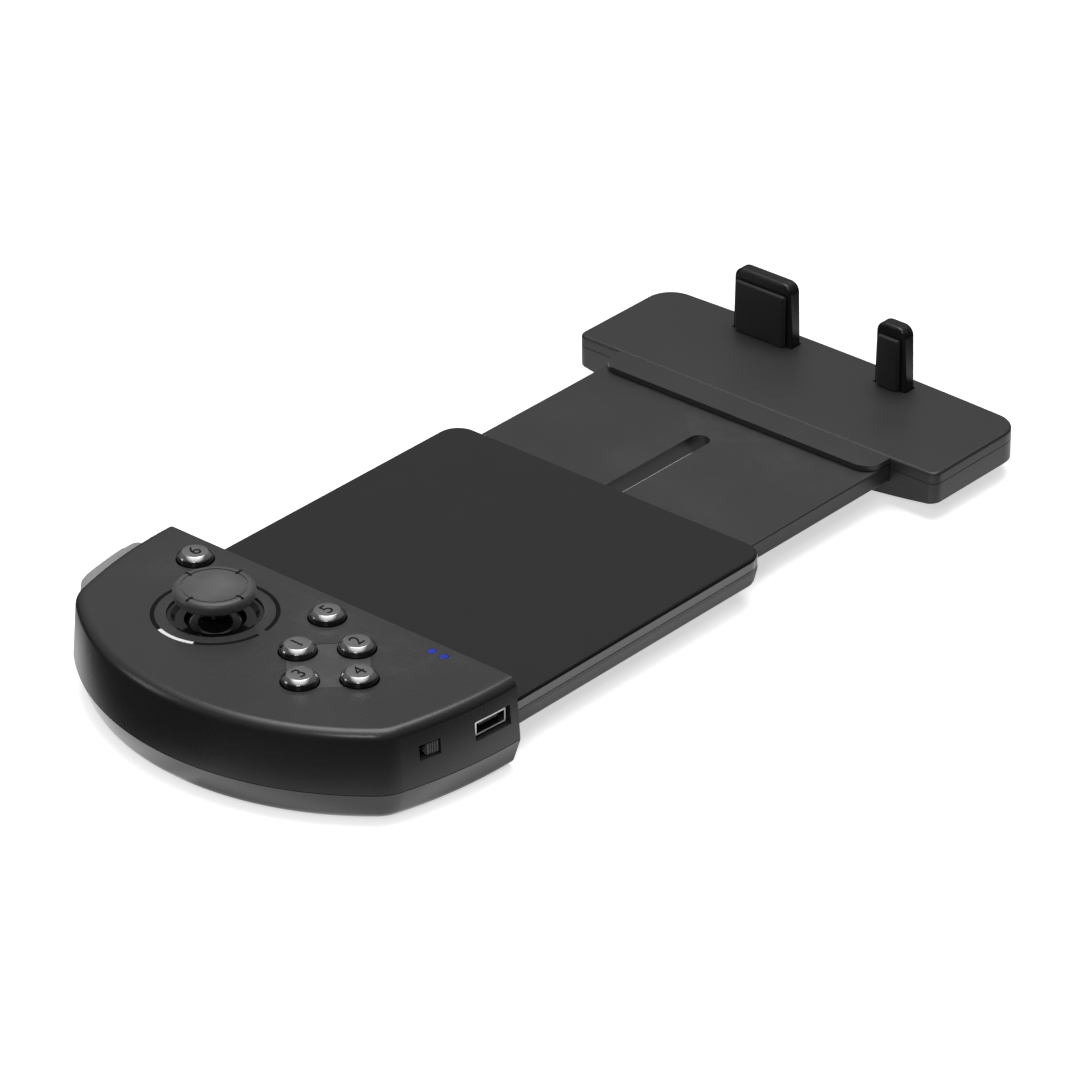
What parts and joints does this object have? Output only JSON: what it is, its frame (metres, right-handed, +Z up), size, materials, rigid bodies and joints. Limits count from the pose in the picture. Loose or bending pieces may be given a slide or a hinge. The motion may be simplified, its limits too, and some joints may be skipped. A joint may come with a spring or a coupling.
{
  "type": "mobile_game_controller",
  "caption": "One-handed clamp-on game controller for a phone: grip with thumb stick and push buttons, flat sleeve, sliding clamp with two padded hooks",
  "frame": {"origin": "middle of the footprint on the surface the controller lies on", "axes": "+X runs from the grip to the clamp's hooks, +Z is up through the buttons, +Y is the shoulder button's side"},
  "size_m": [0.197, 0.0936, 0.0248],
  "materials": {
    "housing": "fine matte moulding, near black",
    "sleeve_gloss": "gloss black panel",
    "sleeve_body": "satin dark grey moulding",
    "slider": "satin dark grey moulding",
    "hook_plastic": "satin black moulding",
    "soft_pad": "soft black pad",
    "soft_cap": "soft-touch dark grey",
    "stick_gloss": "gloss black",
    "marker_white": "white inlay",
    "plated_cap": "dark plated plastic",
    "button_black": "gloss black",
    "shoulder_grey": "satin mid grey moulding",
    "silicone": "translucent silicone",
    "board": "green solder mask",
    "battery_wrap": "foil pouch",
    "inner_plastic": "engineering plastic",
    "knob_plastic": "ribbed dark grey",
    "steel": "bright steel",
    "light_pipe": "clear blue pipe"
  },
  "bodies": {
    "base": {"battery": "battery_wrap", "body_screws": "steel", "bottom_shell": "housing", "button_dome_1": "silicone", "button_dome_2": "silicone", "button_dome_3": "silicone", "button_dome_4": "silicone", "button_dome_5": "silicone", "button_dome_6": "silicone", "button_panel": "stick_gloss", "end_pad": "soft_pad", "keypad_sheet": "silicone", "led_chips": "light_pipe", "led_pipes": "light_pipe", "main_board": "board", "ring_marker": "marker_white", "ring_trim": "stick_gloss", "shoulder_pin": "steel", "shoulder_switch": "inner_plastic", "sleeve_base": "sleeve_body", "sleeve_cover": "sleeve_gloss", "sleeve_screws": "steel", "stick_module": "inner_plastic", "stick_sensors": "inner_plastic", "stick_well": "stick_gloss", "switch_body": "inner_plastic", "top_shell": "housing", "usb_shell": "steel", "usb_tongue": "inner_plastic"},
    "clamp": {"slider_arm": "slider", "slide_leaf": "steel", "tail_shell": "slider", "tail_plate": "slider", "tail_screws": "steel", "hook_wide": "hook_plastic", "hook_narrow": "hook_plastic", "pad_wide": "soft_pad", "pad_narrow": "soft_pad"},
    "gimbal": {"gimbal_ring": "inner_plastic"},
    "stick": {"stick_stem": "stick_gloss", "stick_cap": "soft_cap"},
    "shoulder": {"shoulder_button": "shoulder_grey"},
    "knob": {"switch_knob": "knob_plastic"},
    "button_1": {"button_cap_1": "plated_cap", "button_plunger_1": "button_black"},
    "button_2": {"button_cap_2": "plated_cap", "button_plunger_2": "button_black"},
    "button_3": {"button_cap_3": "plated_cap", "button_plunger_3": "button_black"},
    "button_4": {"button_cap_4": "plated_cap", "button_plunger_4": "button_black"},
    "button_5": {"button_cap_5": "plated_cap", "button_plunger_5": "button_black"},
    "button_6": {"button_cap_6": "plated_cap", "button_plunger_6": "button_black"}
  },
  "joints": [
    {"name": "stick_tilt_x", "type": "hinge", "parent": "base", "child": "gimbal", "pos_m": [-0.0708, 0.014, 0.012], "axis": [1, 0, 0], "range_deg": [-15, 15], "stiffness_Nm_per_rad": 0.03},
    {"name": "stick_tilt_y", "type": "hinge", "parent": "gimbal", "child": "stick", "pos_m": [-0.0708, 0.014, 0.012], "axis": [0, 1, 0], "range_deg": [-15, 15], "stiffness_Nm_per_rad": 0.03},
    {"name": "button_1_press", "type": "slide", "parent": "base", "child": "button_1", "axis": [0, 0, -1], "range_m": [0, 0.001], "stiffness_N_per_m": 300, "deforming": ["button_dome_1"]},
    {"name": "button_2_press", "type": "slide", "parent": "base", "child": "button_2", "axis": [0, 0, -1], "range_m": [0, 0.001], "stiffness_N_per_m": 300, "deforming": ["button_dome_2"]},
    {"name": "button_3_press", "type": "slide", "parent": "base", "child": "button_3", "axis": [0, 0, -1], "range_m": [0, 0.001], "stiffness_N_per_m": 300, "deforming": ["button_dome_3"]},
    {"name": "button_4_press", "type": "slide", "parent": "base", "child": "button_4", "axis": [0, 0, -1], "range_m": [0, 0.001], "stiffness_N_per_m": 300, "deforming": ["button_dome_4"]},
    {"name": "button_5_press", "type": "slide", "parent": "base", "child": "button_5", "axis": [0, 0, -1], "range_m": [0, 0.001], "stiffness_N_per_m": 300, "deforming": ["button_dome_5"]},
    {"name": "button_6_press", "type": "slide", "parent": "base", "child": "button_6", "axis": [0, 0, -1], "range_m": [0, 0.001], "stiffness_N_per_m": 300, "deforming": ["button_dome_6"]},
    {"name": "shoulder_press", "type": "hinge", "parent": "base", "child": "shoulder", "pos_m": [-0.0572, 0.0382, 0.0138], "axis": [0, 0, 1], "range_deg": [0, 3], "stiffness_Nm_per_rad": 0.08},
    {"name": "switch_slide", "type": "slide", "parent": "base", "child": "knob", "axis": [-0.9749, 0.2226, 0], "range_m": [0, 0.0016]},
    {"name": "clamp_slide", "type": "slide", "parent": "base", "child": "clamp", "axis": [1, 0, 0], "range_m": [-0.037, 0.012]}
  ]
}
